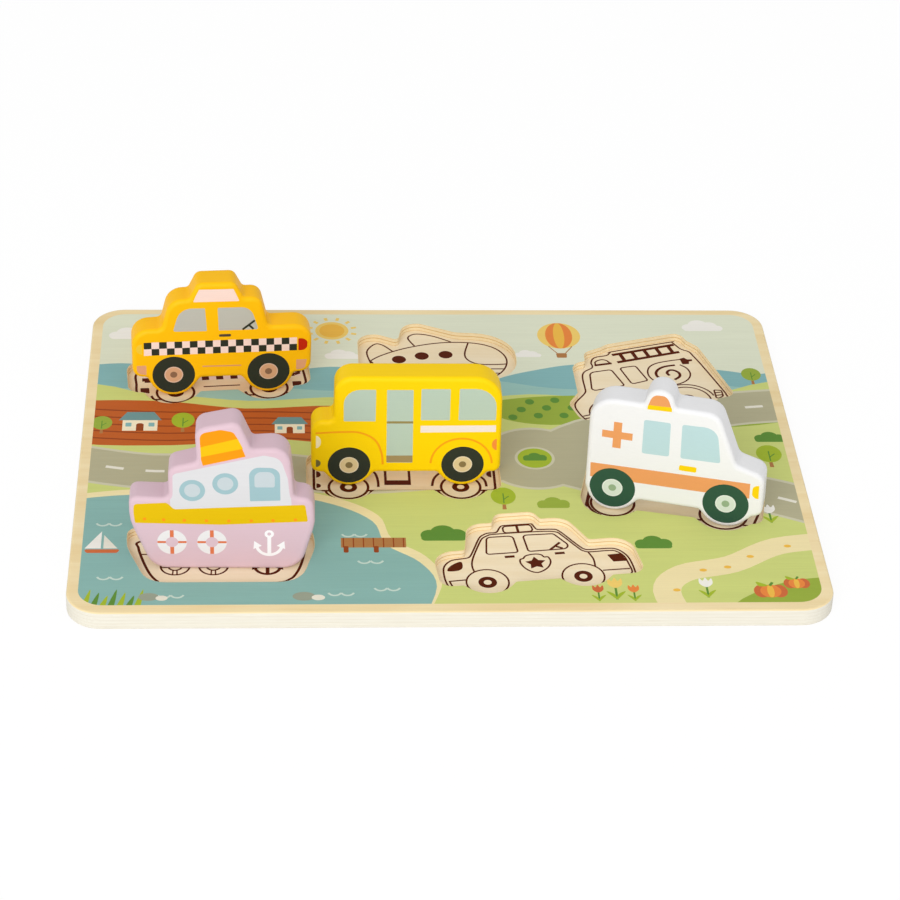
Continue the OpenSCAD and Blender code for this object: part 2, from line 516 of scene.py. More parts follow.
class CutOut(Drawing):
    """The line drawing in brown ink on the floor of a cut-out, as seen from the front with the
    cut-out's base line as the ground. The middle of that line is at x and y on the board."""

    def __init__(self, x, y, turn):
        super().__init__()
        self.place = (x, y, turn)

    def mark(self, *outlines):
        self.fill(line_brown, *outlines)

    def lines(self, width, *rows):
        for points in rows:
            self.line(line_brown, width, points)

    def loops(self, width, *outlines):
        for points in outlines:
            self.loop(line_brown, width, points)

    def wheel(self, x, y, radius, hub, width=fine):
        """A wheel in outline, with a dark ring for its hub."""
        self.fill(bare, disc(x, y, radius))
        self.loops(width, disc(x, y, radius))
        self.mark(disc(x, y, hub))
        self.fill(bare, disc(x, y, hub * 0.42))


checker_dark = srgb(47, 52, 42)
checker_light = srgb(248, 222, 212)


def checkers(drawing, inks, left, low, across, up, count):
    """Two rows of squares in two inks by turns."""
    for n in range(count):
        for row in range(2):
            x, y = left + across * n, low + up * row
            drawing.fill(inks[(n + row) % 2], box(x, y, x + across, y + up))


# Body, windows, chequered band, sill, lamps, bumpers and wheels
taxi_windows = [
    rounded([(-5.7, 32.1), (-6.4, 43.4), (-16.9, 43.6), (-20.1, 32.4)], [0.4, 0.4, 6.5, 0.8]),
    rounded([(-1, 43.4), (-0.7, 32.2), (16.2, 32.1), (12.9, 43.3)], [0.4, 0.4, 0.8, 5.5]),
]
taxi = CutOut(-92.4, 38.025, 5)
taxi.loops(bold, smooth([
    (-34.6, 12.4), (-35, 20.7), (-34.6, 28.5), (-29, 33.4), (-22.6, 35.2), (-19.4, 41.5),
    (-14.2, 47.4), (-8.6, 48.4), (-6.8, 52.4), (6.4, 52.4), (8.2, 48.4), (12.4, 47.4),
    (17.8, 41.6), (20.4, 35.4), (29.7, 33.8), (36.4, 30), (38, 20.8), (37, 13.4), (28, 7.6),
    (0, 8.2), (-28, 7.6),
]))
taxi.loops(fine, *taxi_windows)
checkers(taxi, (line_brown, checker_light), -31.4, 21.2, 3.1, 3.2, count=22)
taxi.lines(0.8, [(-6.3, 16), (9.5, 16)])
taxi.mark(
    box(-32.4, 22.3, -29.6, 24.9),
    [(33.9, 21.7), (36.3, 22.9), (36.3, 24.7), (33.4, 23.8)],
    rounded([(-33.5, 14), (-29.7, 12.5), (-29.7, 17), (-33.5, 17.1)], 0.4),
    rounded([(32.2, 12.7), (36, 14.2), (36.1, 16.9), (32.2, 16.9)], 0.4),
)
for x in (-18.6, 21.8):
    taxi.lines(bold, arc(x, axle_height, 10.6, 190, 350))
    taxi.wheel(x, axle_height, 8, 3.6, bold)

# Body, windows, bonnet, arch of the rear wheel, door, step, wheels and lamps
bus_windows = [
    rounded([(-25.8, 32), (-12.9, 32), (-12.9, 47.2), (-25.9, 47.2)], [0.4, 0.4, 0.4, 6.8]),
    rounded([(5.5, 32.5), (17.3, 32.5), (17.2, 47.5), (5.4, 47.5)], 0.4),
    rounded([(20.8, 32.5), (36.1, 32.5), (36.1, 47.6), (20.9, 47.6)], [0.4, 0.4, 8.8, 0.4]),
]
bus = CutOut(-16.2, -35.55, 0)
bus.loops(bold, rounded([
    (-37, 10), (37.8, 10), (37.8, 24), (36, 51.4), (-27, 51.4), (-29, 37), (-37, 33),
], [2, 2, 12, 9, 7, 3, 3]))
bus.loops(fine, *bus_windows)
bus.lines(
    bold,
    curve([
        (-34, 27.4), (-22, 27.8), (-15.6, 26.4), (-12, 23.2), (-11, 20.2), (-10.5, 16.2),
        (-10.5, 12.6),
    ]),
    curve([
        (11.7, 13.2), (12.6, 18.2), (14.8, 22), (18.5, 24.8), (23.3, 25.8), (28.5, 24),
        (32.3, 19.7), (33.8, 16.8), (34.2, 12.8),
    ]),
    [(-7.4, 14), (-7.4, 48)],
    [(2.5, 14), (2.5, 48)],
)
bus.mark(box(-7.8, 14, 2.9, 17.4))
for x in (-22.8, 23.5):
    bus.lines(bold, arc(x, axle_height, 9.9, 192, 348))
    bus.wheel(x, axle_height, 8.1, 3.6, bold)
bus.mark(
    half_disc(-36, 21.8, 1.9, 2.3),
    half_disc(-36, 13.6, 1.9, 1.7),
    half_disc(36.7, 21.7, -2.1, 2.3),
)

# Hull and cabin, deck, portholes and lifebelts
ship = CutOut(-89.4, -91.35, 0)
ship.loops(bold, smooth([
    (-33.8, 30.4), (-34, 26.3), (-33, 21.6), (-31.5, 16.2), (-29.7, 10.9), (-28, 7.2),
    (-25.9, 4.3), (-22.8, 2.9), (0, 2.7), (21, 2.9), (26.1, 5.2), (28.1, 7.8), (29.9, 12.5),
    (31.1, 17.8), (31.9, 24), (31.4, 31), (26.8, 33.6), (25.6, 42), (22, 51), (12.4, 55),
    (7.4, 62.4), (-2, 65), (-8.4, 61.4), (-9.4, 50), (-18.6, 45.6), (-20, 33),
]))
ship.lines(fine, [(-32.9, 21.9), (31.6, 22.6)])
for x, y in ((-11.7, 38.8), (1.1, 42)):
    ship.loops(fine, disc(x, y, 4.8), disc(x, y, 3))
for x, y in ((-19.1, 13.9), (-4, 13.9)):
    ship.loops(0.8, disc(x, y, 5.7), disc(x, y, 2.7))
    for turn in (0, 90, 180, 270):
        for side in (-1, 1):
            near, far = math.radians(turn + 16 * side), math.radians(turn + 9 * side)
            ship.lines(0.6, [
                (x + 2.8 * math.cos(near), y + 2.8 * math.sin(near)),
                (x + 5.6 * math.cos(far), y + 5.6 * math.sin(far)),
            ])


def anchor(drawing, ink, x, y):
    """A ship's anchor, its crown at the bottom of the stock."""
    drawing.line(ink, 1.5, [(x, y + 0.8), (x, y + 9.4)])
    drawing.loop(ink, 1.1, disc(x, y + 10.6, 1.3, steps=16))
    drawing.line(ink, 1.3, arc(x, y + 5.6, 5, 190, 350))
    for side in (-1, 1):
        drawing.fill(ink, [
            (x + side * 5.9, y + 7.2), (x + side * 2.9, y + 4.9), (x + side * 6.2, y + 3.4),
        ])


anchor(ship, line_brown, 17.3, 7.9)

# Body with its beacon, windows and wheels
ambulance_windows = [
    rounded([(-13, 30.2), (-1.9, 30.4), (-2.3, 46.4), (-13.1, 46.3)], 1),
    rounded([(2.7, 30.4), (18.9, 30.7), (16.5, 46.9), (2.3, 46.5)], [1, 1, 6, 1]),
]
ambulance = CutOut(88.8, -52.875, -12.5)
ambulance.loops(bold, rounded([
    (-33.6, 52), (-14, 52), (-12.4, 58.4), (-2, 58.4), (0, 52), (19.5, 49.5), (26, 31), (36, 26),
    (36.4, 17), (35, 9), (-33.6, 9),
], [9, 3, 3, 3, 3, 7, 3, 2, 2, 1, 1]))
ambulance.loops(fine, *ambulance_windows)
ambulance.fill(bare, disc(-23.2, 13.3, 10.1))
ambulance.lines(bold, arc(-23.2, 13.3, 10.1, 160, 250))
ambulance.wheel(-23.1, 13.2, 8.9, 4, bold)
ambulance.wheel(22.4, 14.2, 9.6, 4, bold)

# Body, roof and bonnet, windows, badge with a star, handles, lamps, bumpers, beacon and wheels
police_car = CutOut(33.6, -97.2, 6.5)
police_car.lines(
    fine,
    curve([
        (-33.2, 8.8), (-34.1, 10.6), (-34.5, 15.3), (-34.1, 20.6), (-33, 23.5), (-31.1, 25.6),
        (-28.9, 26.7), (-23.6, 27.3), (-21.9, 28.6), (-20, 32.4), (-16.5, 39.9), (-14.4, 42.1),
        (-12.2, 43.1), (-8.9, 43.2), (-7.2, 45.8), (-6.1, 47.2), (-4, 47.5), (5.4, 47.4),
        (6.6, 46.9), (7.6, 43.8), (9.1, 43.1), (14, 42.7), (16.6, 41.2), (20.8, 33.4),
        (23.2, 29.1), (24.6, 27.6), (26.5, 27.1), (34.3, 27.1), (37.4, 26), (39.6, 23.2),
        (40.9, 19.6), (41.4, 14.2), (41.4, 9.4),
    ]),
    curve([
        (-22, 17), (-22.4, 21.6), (-21.1, 27.1), (-16.5, 37.5), (-14.8, 40.1), (-12.5, 41.5),
        (-10.4, 42), (0.7, 42), (10.9, 41.6), (15.3, 40.6), (17.2, 38), (22.3, 28.4),
        (23.9, 26.5), (26.2, 25.6), (34.4, 25.6), (37, 24.5), (39.2, 21.2), (40, 15.7),
        (40.3, 10.9), (39.2, 9),
    ]),
    curve([(25.4, 25.6), (26.6, 20.7), (26.3, 15.6)]),
)
police_car.loops(
    fine,
    rounded([(-15.4, 28.8), (-2.5, 28.7), (-2.7, 40), (-13.4, 40.2)], [1.2, 1.2, 2, 2]),
    rounded([(1.7, 28.8), (19.9, 28.9), (13.9, 39.6), (1.4, 40)], [1.2, 2.4, 1.6, 1.6]),
)
police_car.lines(bold, [(10.6, 28.9), (15.4, 33.4)], [(13, 31.2), (15.8, 29.3)])
police_car.loops(fine, smooth([
    (-2.6, 23.7), (-1.2, 24.4), (-0.2, 25.8), (1.9, 26.6), (4.4, 26.7), (6.3, 26), (7.3, 24.4),
    (8.8, 24.2), (9.3, 21.4), (8.3, 18.5), (6.2, 16.1), (3.2, 14.5), (0.6, 15.3), (-1.6, 17.8),
    (-2.8, 21.1),
]))
star = []
for n in range(10):
    reach = 4.3 if n % 2 == 0 else 2.3
    turn = math.radians(90 + 36 * n)
    star.append((3.2 + reach * math.cos(turn), 20.8 + reach * math.sin(turn)))
police_car.mark(star)
for x in (-8.4, 12):
    police_car.lines(1.5, [(x, 26.2), (x + 4, 26.2)])
police_car.mark(
    smooth([
        (-32.6, 19.6), (-31.7, 22), (-28.9, 24.3), (-26.2, 25), (-26.2, 21.6), (-27.4, 19.8),
        (-29.7, 19.2),
    ]),
    rounded([(34.2, 18), (39.6, 17.9), (38.3, 23.2), (32.6, 22.9)], 0.3),
)
police_car.lines(
    fine,
    [(-26.4, 13), (-32.9, 12.8), (-32.4, 9.6), (-31.4, 8.6), (-26.8, 8.4)],
    [(28.8, 12.8), (39.8, 12.7)],
)
police_car.loops(fine, rounded([(-5.9, 42.4), (6.2, 42.3), (5.9, 46.8), (-5.7, 46.8)], 1.4))
police_car.lines(bold, [(0.1, 46.6), (0.1, 42.1)])
for x, y in ((-18.1, 10.4), (20.3, 9.8)):
    police_car.wheel(x, y, 8.4, 3.7)

# Fuselage, tail, far wing, cockpit, two short strokes, near wing and windows
aeroplane = CutOut(0, 45.9, 0)
aeroplane.loops(fine, smooth([
    (-26.5, 27), (-27.2, 28.4), (-22.4, 32.9), (-13.8, 37.9), (-4.3, 41.5), (3.8, 43.4),
    (9.8, 43.9), (16.7, 43.6), (23.2, 42), (28.2, 38.9), (31.5, 34.4), (32.9, 29.4),
    (32.3, 24.2), (30, 19.2), (25.6, 14.6), (18, 10.8), (4, 9.2), (-12, 12), (-23, 18.4),
]))
aeroplane.lines(
    fine,
    curve([(-27.2, 26.4), (-28.7, 35.9), (-25.1, 42.2), (-21.6, 41.5), (-17.4, 36.4)]),
    curve([(-7.2, 40.4), (-10.1, 47.1), (-7.9, 50.4), (-3.9, 50.7), (2, 48.6), (9, 44.2)]),
    curve([(16.5, 43.2), (14.6, 34.1), (15.9, 29), (20.2, 25.9), (27.5, 25.5), (32.4, 25.9)]),
    [(24.6, 21.9), (31.6, 21.9)],
    [(26.8, 18.4), (29.8, 18.4)],
    curve([(-12, 24), (-4, 26), (6, 24), (-2, 14), (-12, 8), (-17, 11), (-12, 24)]),
)
aeroplane.mark(disc(-14.7, 29.6, 3.1), disc(-4.5, 32.5, 3.1), disc(6.1, 33.6, 3.1))

# Body, ladder, bell, windows, coiled hose with its nozzle, lamps, bumper and wheels
ladder_foot, ladder_head = 49.6, 55.9
ladder_line = 1.8
fire_engine = CutOut(94.5, 25.2, 16.5)
fire_engine.loops(fine, smooth([
    (-28.3, 9.6), (-29.4, 13), (-29.8, 17.6), (-29.5, 21.6), (-27.7, 24.8), (-21.5, 30.4),
    (-20, 34.2), (-18.7, 39.7), (-17.1, 44.3), (-15, 46.7), (-11.2, 48.4), (-10.2, 50.2),
    (-9.9, 52.4), (-8, 55.3), (-5.5, 56.3), (-0.9, 56.3), (1.4, 58), (3.5, 58.5), (29.7, 58.6),
    (31.4, 58), (32.6, 52.9), (33.7, 50.9), (35.6, 48.6), (36, 45), (36.6, 37), (37.4, 16),
    (37.3, 11.8), (35.5, 9.2), (20, 7), (-10, 6), (-25, 7.4),
]))
for y in (ladder_foot, ladder_head):
    fire_engine.lines(ladder_line, [(1.5, y), (31.4, y + 0.2)])
for n in range(5):
    x = 5.2 + 5.8 * n
    fire_engine.lines(ladder_line, [(x, ladder_foot), (x, ladder_head)])
fire_engine.lines(fine, curve([
    (-8.4, 50.6), (-8, 52.4), (-6.2, 53.5), (-4, 53.5), (-2.5, 52.2), (-1.9, 50),
]))
fire_engine.lines(1.5, [(-9.2, 50.1), (-1.2, 49.6)])
fire_engine.loops(
    fine,
    rounded([(-17.9, 31.1), (-2.6, 31.1), (-3.4, 44.8), (-13.4, 45.2)], [1.6, 1, 1.6, 3]),
    rounded([(1, 31.3), (8.8, 32), (8.1, 44.6), (0.7, 45)], [1.4, 1, 1.4, 1.4]),
)
fire_engine.lines(
    fine,
    curve([
        (29.2, 43.9), (24.5, 44.2), (18.3, 44), (14.1, 42.3), (11.7, 39.1), (10.7, 35.2),
        (11.4, 31.4), (14, 28),
    ]),
    curve([(27.4, 39.9), (29.2, 36.3), (28.9, 31.6), (26.1, 27.7), (21.4, 25.6), (16.6, 26)]),
)
fire_engine.lines(
    1.3,
    curve([(25.2, 40.2), (20.5, 40.4), (17, 39.2), (14.6, 36.6), (14.2, 33.4), (16, 30.6)]),
    curve([
        (19.6, 33), (19.3, 35.2), (21, 36.9), (23.1, 36.3), (24.4, 33.7), (23.5, 31),
        (20.4, 29.2),
    ]),
)
fire_engine.mark(rounded([
    (28.7, 39.9), (31.6, 39.3), (32.4, 41.2), (34, 41.2), (34.4, 42.6), (32.4, 43),
    (31.4, 44.8), (29.2, 44.5),
], 0.2))
fire_engine.loops(fine, rounded([
    (31.9, 9.6), (35.6, 10.9), (36.6, 15.4), (33.6, 16.6),
], [0.8, 1.6, 1, 0.6]))
for y in (12.2, 14.3):
    fire_engine.lines(fine, [(32.7, y + 0.2), (35.7, y - 0.2)])
fire_engine.lines(fine, arc(19.5, axle_height, 12.3, 0, 180))
for y in (13.5, 11.4):
    fire_engine.lines(fine, [(-29, y), (-24.6, y + 0.3)])
for x in (-15.5, 19.5):
    fire_engine.wheel(x, axle_height, 10.2, 4.2)

floor_drawings = Drawing()
for cut_out in (taxi, bus, ship, ambulance, police_car, aeroplane, fire_engine):
    floor_drawings.stamp(cut_out, *cut_out.place)

backing_thickness = 4.4
backing_ply = 1.47
outer_easing = 0.9
backing = joined_copy("backing_panel", "plain_backing")
print_face(backing, on_board(0, 0, 0, backing_thickness), floor_drawings)
upside_down = Matrix.Rotation(math.pi, 4, "X")
print_face(backing, upside_down, easing=(outer_easing, 0))
backing.data.materials.append(
    plywood("birch_backing", 0, backing_ply, srgb(249, 235, 207), srgb(237, 217, 179))
)
finish_piece(backing, "board", "backing_panel")


# Printed frame panel
# The upper sheet of birch plywood, sawn out in the seven outlines and printed on top with a
# countryside. The print stops short of the outer edge, and the sawn edges are sanded and bare.

frame_thickness = 3.4
frame_ply = 1.7
top_height = backing_thickness + frame_thickness
hole_easing = 0.2
print_area = rounded(box(-145.4, -107.2, 145.4, 108), 10, steps=10)

sky = srgb(223, 227, 203)
cloud_white = srgb(240, 237, 228)
far_hill = srgb(134, 181, 182)
near_hill = srgb(154, 194, 186)
meadow = srgb(204, 212, 126)
orchard = srgb(152, 173, 66)
leaf = srgb(163, 184, 52)
dark_leaf = srgb(96, 142, 58)
soil = srgb(190, 96, 42)
furrow = srgb(148, 70, 34)
cream = srgb(240, 224, 172)
road_grey = srgb(180, 175, 143)
road_mark = srgb(230, 226, 210)
road_edge = srgb(204, 200, 172)
water = srgb(138, 181, 174)
ripple = srgb(196, 216, 204)
roof_red = srgb(205, 108, 62)
wall_cream = srgb(242, 230, 200)
slate = srgb(112, 150, 150)
sun_yellow = srgb(240, 205, 110)
sun_gold = srgb(238, 186, 76)
balloon_orange = srgb(232, 136, 66)
plank_brown = srgb(176, 122, 72)
stone_grey = srgb(152, 160, 142)

# What the countryside holds more than once is drawn here at the origin, and is stamped on the
# land at its places and sizes
cloud = Drawing()
for x, y, radius in ((-6, 0, 3.4), (-1.6, 2.4, 4.6), (3.6, 1.2, 4), (7.4, -0.6, 2.6)):
    cloud.fill(cloud_white, disc(x, y, radius, radius * 0.92))
cloud.patch(cloud_white, box(-8.6, -3, 9.4, 0), 1.3)


def tree(crown):
    """A round tree on a short trunk."""
    drawing = Drawing()
    drawing.patch(plank_brown, [(-0.9, 0), (0.9, 0), (0.6, 6), (-0.6, 6)], 0.3)
    drawing.fill(crown, disc(0, 10, 5.4, 6.4))
    drawing.line(dark_leaf, 0.5, [(0, 4.6), (0, 12)])
    drawing.line(dark_leaf, 0.5, [(0, 7.4), (2.4, 10)])
    return drawing


def bush(ink):
    drawing = Drawing()
    for x, y, radius in ((-4.8, 2, 3.4), (0, 3.6, 4.6), (5, 2.2, 3.6)):
        drawing.fill(ink, disc(x, y, radius))
    drawing.patch(ink, box(-8, -1.4, 8.4, 2), 1.6)
    return drawing


def tulip(ink):
    drawing = Drawing()
    drawing.line(dark_leaf, 0.8, [(0, 0), (0, 7)])
    for side in (-1, 1):
        drawing.fill(leaf, smooth([(0, 0), (side * 3.2, 4.4), (side * 0.7, 3)]))
    drawing.fill(ink, smooth([
        (0, 6.2), (2.3, 8.2), (2.2, 11.4), (1, 10), (0, 11.8), (-1, 10), (-2.2, 11.4),
        (-2.3, 8.2),
    ]))
    return drawing


pumpkin = Drawing()
for x, across, ink in ((-3, 2.8, roof_red), (3, 2.8, roof_red), (0, 3.6, balloon_orange)):
    pumpkin.fill(ink, disc(x, 0, across, 3.6))
pumpkin.fill(sun_gold, disc(0, 0, 1.2, 3.6))
pumpkin.line(dark_leaf, 1, [(0, 3), (1.2, 5)])
pumpkin.fill(leaf, smooth([(-0.6, 3.2), (-4.4, 5.4), (-3.6, 2.8)]))

house = Drawing()
house.fill(wall_cream, box(-7, 0, 7, 8))
house.fill(slate, [(-8.6, 7.6), (8.6, 7.6), (5.4, 13.6), (-5.4, 13.6)])
house.patch(furrow, box(-1.5, 0, 1.5, 5.4), [0.1, 0.1, 1.2, 1.2])
for x in (-4.6, 4.6):
    house.patch(far_hill, box(x - 1.2, 3, x + 1.2, 5.8), 0.3)

land = Drawing()
land.fill(sky, box(-150, -112, 150, 112))
for x, y, size in ((-133, 90, 1), (-40, 73, 0.8), (122, 97, 0.95), (42, 74, 0.6)):
    land.stamp(cloud, x, y, size=size)

# A sun with short loose rays, over the left of the hills
sun = Vector((-44, 94))
land.fill(sun_yellow, disc(*sun, 7.4))
land.fill(sun_gold, disc(*sun, 5.6))
for n in range(12):
    turn = math.tau * (n + 0.5) / 12
    ray = Vector((math.cos(turn), math.sin(turn)))
    land.line(sun_yellow, 1.5, [tuple(sun + ray * reach) for reach in (8.8, 11.2)])

# A striped hot-air balloon with its basket
x = 57
for ink, across in ((sun_yellow, 9.6), (balloon_orange, 6), (sun_gold, 2.4)):
    land.fill(ink, disc(x, 90, across, 10.8))
for side in (-1, 1):
    land.line(plank_brown, 0.5, [(x + side * 5.2, 81), (x + side * 1.9, 75.4)])
land.patch(plank_brown, [(54.8, 71.6), (59.2, 71.6), (59.4, 75.4), (54.6, 75.4)], 0.7)

# Hills, and the meadow in front of them
land.fill(far_hill, smooth([
    (-160, 58), (-136, 67), (-112, 60), (-90, 52), (-66, 60), (-40, 64), (-14, 54), (14, 50),
    (40, 60), (66, 66), (92, 57), (120, 62), (142, 58), (160, 62), (160, 20), (-160, 20),
]))
land.fill(near_hill, smooth([
    (-160, 44), (-130, 47), (-100, 54), (-70, 48), (-40, 45), (-10, 52), (20, 54), (50, 47),
    (80, 46), (110, 52), (136, 47), (160, 46), (160, 10), (-160, 10),
]))
land.fill(meadow, smooth([
    (-160, 36), (-120, 42), (-80, 37), (-40, 40), (0, 36), (40, 42), (80, 38), (120, 43),
    (160, 38), (165, -130), (-165, -130),
]))

# An orchard on the right and a ploughed field with curved furrows on the left
land.fill(orchard, smooth([
    (24, 36), (60, 41), (100, 36), (150, 40), (156, 24), (120, 16), (84, 22), (48, 18), (26, 24),
]))
for row in range(3):
    for n in range(11):
        x, y = 32 + 11 * n + 4 * row, 24 + 6 * row + 1.5 * math.sin(n)
        land.fill(dark_leaf, disc(x, y, 2, 2.2, steps=14))
land.fill(soil, smooth([
    (-158, 34), (-120, 37), (-82, 31), (-44, 33), (-8, 27), (20, 30), (26, 17), (6, 6), (-30, 2),
    (-74, 8), (-112, 3), (-158, 7),
]))
for n in range(5):
    lift = 5.4 * n
    land.line(furrow, 0.9, curve([
        (-152, 9.4 + lift), (-114, 6.6 + lift), (-74, 9 + lift * 0.9), (-32, 5 + lift),
        (4, 9 + lift * 0.8), (20, 16 + lift * 0.6),
    ]))
for motif, x, y, size in (
    (house, -126, 14, 1.05),
    (house, -63, 12, 0.9),
    (tree(leaf), -108, 13, 0.9),
    (tree(orchard), -142, 12, 0.8),
    (bush(leaf), -44, 12, 0.9),
):
    land.stamp(motif, x, y, size=size)

# Roads that meet in a roundabout, with pale edges and a broken centre line
roads = [
    curve([(-156, -8), (-120, -16), (-80, -14), (-40, -20), (0, -16), (40, -8)]),
    curve([(40, -8), (64, 10), (92, 18), (124, 30), (158, 34)]),
    curve([(40, -8), (70, -22), (104, -26), (132, -34), (158, -46)]),
]
roundabout = (39, -7)
for width, ink in ((26, road_edge), (23, road_grey)):
    for road in roads:
        land.line(ink, width, road)
    land.fill(ink, disc(*roundabout, 10 + width / 2, steps=60))
dash_pitch, dash_length, dash_width = 17, 8.5, 1.7
dashes_clear_of = 25
for road in roads:
    travelled = 0.0
    dash = []
    for a, b in zip(road, road[1:]):
        step = (Vector(b) - Vector(a)).length
        for part in range(10):
            spot = Vector(a).lerp(Vector(b), part / 10)
            in_dash = (travelled + step * part / 10) % dash_pitch < dash_length
            if in_dash and (spot - Vector(roundabout)).length > dashes_clear_of:
                dash.append(tuple(spot))
                continue
            if len(dash) > 2:
                land.line(road_mark, dash_width, [dash[0], dash[len(dash) // 2], dash[-1]])
            dash = []
        travelled += step
land.fill(road_edge, disc(*roundabout, 8.4))
land.fill(leaf, disc(*roundabout, 7.2))
land.stamp(bush(dark_leaf), 39, -8, size=0.6)

# A bay with a sandy shore, a wooden jetty, a sailing boat, reeds and stones
shore = curve([
    (-160, -38), (-128, -33), (-98, -36), (-70, -33), (-46, -40), (-30, -52), (-25, -68),
    (-12, -80), (-6, -96), (-14, -122),
])
bay_corner = (-160, -122)
land.fill(cream, [(x + 2.5, y + 4) for x, y in shore] + [bay_corner])
land.fill(water, shore + [bay_corner])
for x, y in (
    (-34, -78), (-46, -99), (-28, -96), (-138, -52), (-136, -88), (-40, -60), (-112, -100),
):
    land.line(ripple, 0.9, arc(x, y, 2.6, 200, 340, steps=10))
    land.line(ripple, 0.9, arc(x + 5, y, 2.6, 200, 340, steps=10))
land.fill(plank_brown, box(-43, -70, -17, -63.4))
for n in range(7):
    x = -42 + 4 * n
    land.line(furrow, 0.5, [(x, -70), (x, -63.4)])
for x in (-41, -29):
    land.patch(furrow, box(x - 1, -73.4, x + 1, -69), 0.6)
land.fill(cloud_white, [(-144.4, -70), (-138, -70), (-138, -58.4)])
land.fill(road_mark, [(-137, -70), (-131.4, -70), (-137, -61)])
land.patch(roof_red, [
    (-143.4, -73), (-131.6, -73), (-130, -70.6), (-145, -70.6),
], 0.8)
for n in range(7):
    x = -143 + 3.4 * n
    reed = smooth([(x - 1, -109), (x + 1.5, -109), (x + 2.4, -97 - 2 * (n % 3))])
    land.fill(dark_leaf if n % 2 else leaf, reed)
for x, y, size in ((-118, -102, 0.9), (-58, -102, 1)):
    land.fill(stone_grey, disc(x, y, 4.4 * size, 2.8 * size))
    land.fill(road_mark, disc(x + 5.6 * size, y - 0.8, 2.6 * size, 1.8 * size))

# A meadow with a footpath, pumpkins, tulips and trees
land.line(cream, 11, curve([(158, -66), (132, -70), (112, -82), (92, -88), (84, -100), (90, -122)]))
for x, y in ((136, -70), (120, -77), (100, -86), (88, -99), (110, -84)):
    land.fill(sun_gold, disc(x, y, 1.5, 1, steps=16))
land.fill(orchard, smooth([(112, -112), (120, -100), (140, -92), (160, -94), (160, -118)]))
for motif, x, y, size in (
    (pumpkin, 136, -95, 0.9),
    (pumpkin, 125, -100, 1.15),
    (tree(leaf), 138, -14, 1),
    (tree(orchard), 139, 50, 0.8),
    (tree(leaf), 24, -44, 0.95),
    (tulip(roof_red), 57, -106, 0.9),
    (tulip(sun_yellow), 64, -105, 1.2),
    (tulip(balloon_orange), 71, -106, 0.9),
    (tulip(cloud_white), 100, -104, 1.1),
    (tulip(cloud_white), 132, -54, 1.1),
    (bush(leaf), 20, -78, 0.85),
    (bush(dark_leaf), -2, -64, 1.1),
    (bush(orchard), 44, -42, 0.8),
    (bush(dark_leaf), 82, -70, 0.9),
    (bush(dark_leaf), 140, 6, 0.8),
):
    land.stamp(motif, x, y, size=size)

printed_panel = joined_copy("frame_panel", "printed_panel")
print_face(
    printed_panel,
    on_board(0, 0, 0, top_height),
    land,
    easing=(outer_easing, hole_easing),
    within=print_area,
)
printed_panel.data.materials.append(plywood(
    "printed_birch", backing_thickness, frame_ply, srgb(248, 232, 190), srgb(232, 205, 150),
))
finish_piece(printed_panel, "board", "frame_panel")


# Taxi
# A block of solid wood sawn to outline, its edges rounded, painted orange all over and
# printed on the front. It stands loose in its cut-out.

rest_gap = 0.1


def standing(cut_out, aside, back, skew):
    """The frame of the drawing on the front of a vehicle that stands upright in its cut-out,
    some way to the right of the cut-out's base line, some way behind it and a little skew."""
    return (
        on_board(*cut_out.place, backing_thickness + rest_gap)
        @ Matrix.Translation(Vector((aside, back, 0)) * mm)
        @ Matrix.Rotation(math.radians(skew), 4, "Z")
        @ Matrix.Rotation(math.pi / 2, 4, "X")
    )


def painted_wood(name, paint):
    """Satin paint on solid wood, with ink on the printed face and a trace of grain."""
    finish = Finish(name)
    grain = finish.grain(22, 0.8)
    patches = finish.grain(30, 18, detail=2)
    ink = finish.node("ShaderNodeAttribute", {"attribute_name": "ink"})
    colour = finish.blend(paint, ink, ink.output("Alpha"))
    colour = finish.shaded(colour, grain * 0.05 + patches * 0.04 + 0.955)
    return finish.surface(colour, 0.38 + patches * 0.1, grain, depth=0.025, shine=0.12)


def printed_wheel(drawing, x, y, tyre_radius, hub_radius, tyre, hub, cap):
    """A wheel printed flat: tyre, hub with a paler rim, and a cap."""
    rim = tuple(0.75 * part + 0.25 for part in hub[:3]) + (1.0,)
    drawing.fill(tyre, disc(x, y, tyre_radius, steps=64))
    drawing.fill(rim, disc(x, y, hub_radius, steps=48))
    drawing.fill(hub, disc(x, y, hub_radius * 0.9, steps=48))
    drawing.fill(cap, disc(x, y, hub_radius * 0.38, steps=32))


def painted_block(name, front, drawing, coat, paint):
    """A vehicle painted all over, with a print on its front."""
    piece = joined_copy(name, "painted_" + name)
    print_face(piece, front, drawing)
    piece.data.materials.append(painted_wood(coat, paint))
    finish_piece(piece, name, name)


taxi_hub = srgb(214, 166, 128)
taxi_cap = srgb(140, 105, 80)
bumper = srgb(224, 164, 124)
taxi_print = Drawing()
taxi_print.fill(srgb(188, 189, 180), *taxi_windows)
taxi_print.line(checker_dark, 0.95, [(9.4, 32.2), (14.7, 36.6)])
taxi_print.line(checker_dark, 0.95, [(12.1, 34.5), (14.1, 32.3)])
taxi_print.patch(checker_light, [
    (-11.3, 46.6), (8.2, 46.4), (5.8, 52.4), (-8.9, 52.6),
], [0.3, 0.3, 0.6, 0.6])
taxi_print.patch(srgb(80, 70, 55), box(-0.6, 29, 4.5, 30.3), 0.6)
checkers(taxi_print, (checker_light, checker_dark), -32.6, 20.85, 3.26, 3.25, count=20)
taxi_print.fill(srgb(240, 202, 60), half_disc(-33.4, 24.1, -2.5, 2.5))
taxi_print.patch(srgb(192, 40, 12), box(33.2, 20.8, 37.2, 26.8), [0.3, 2.8, 2.8, 0.3])
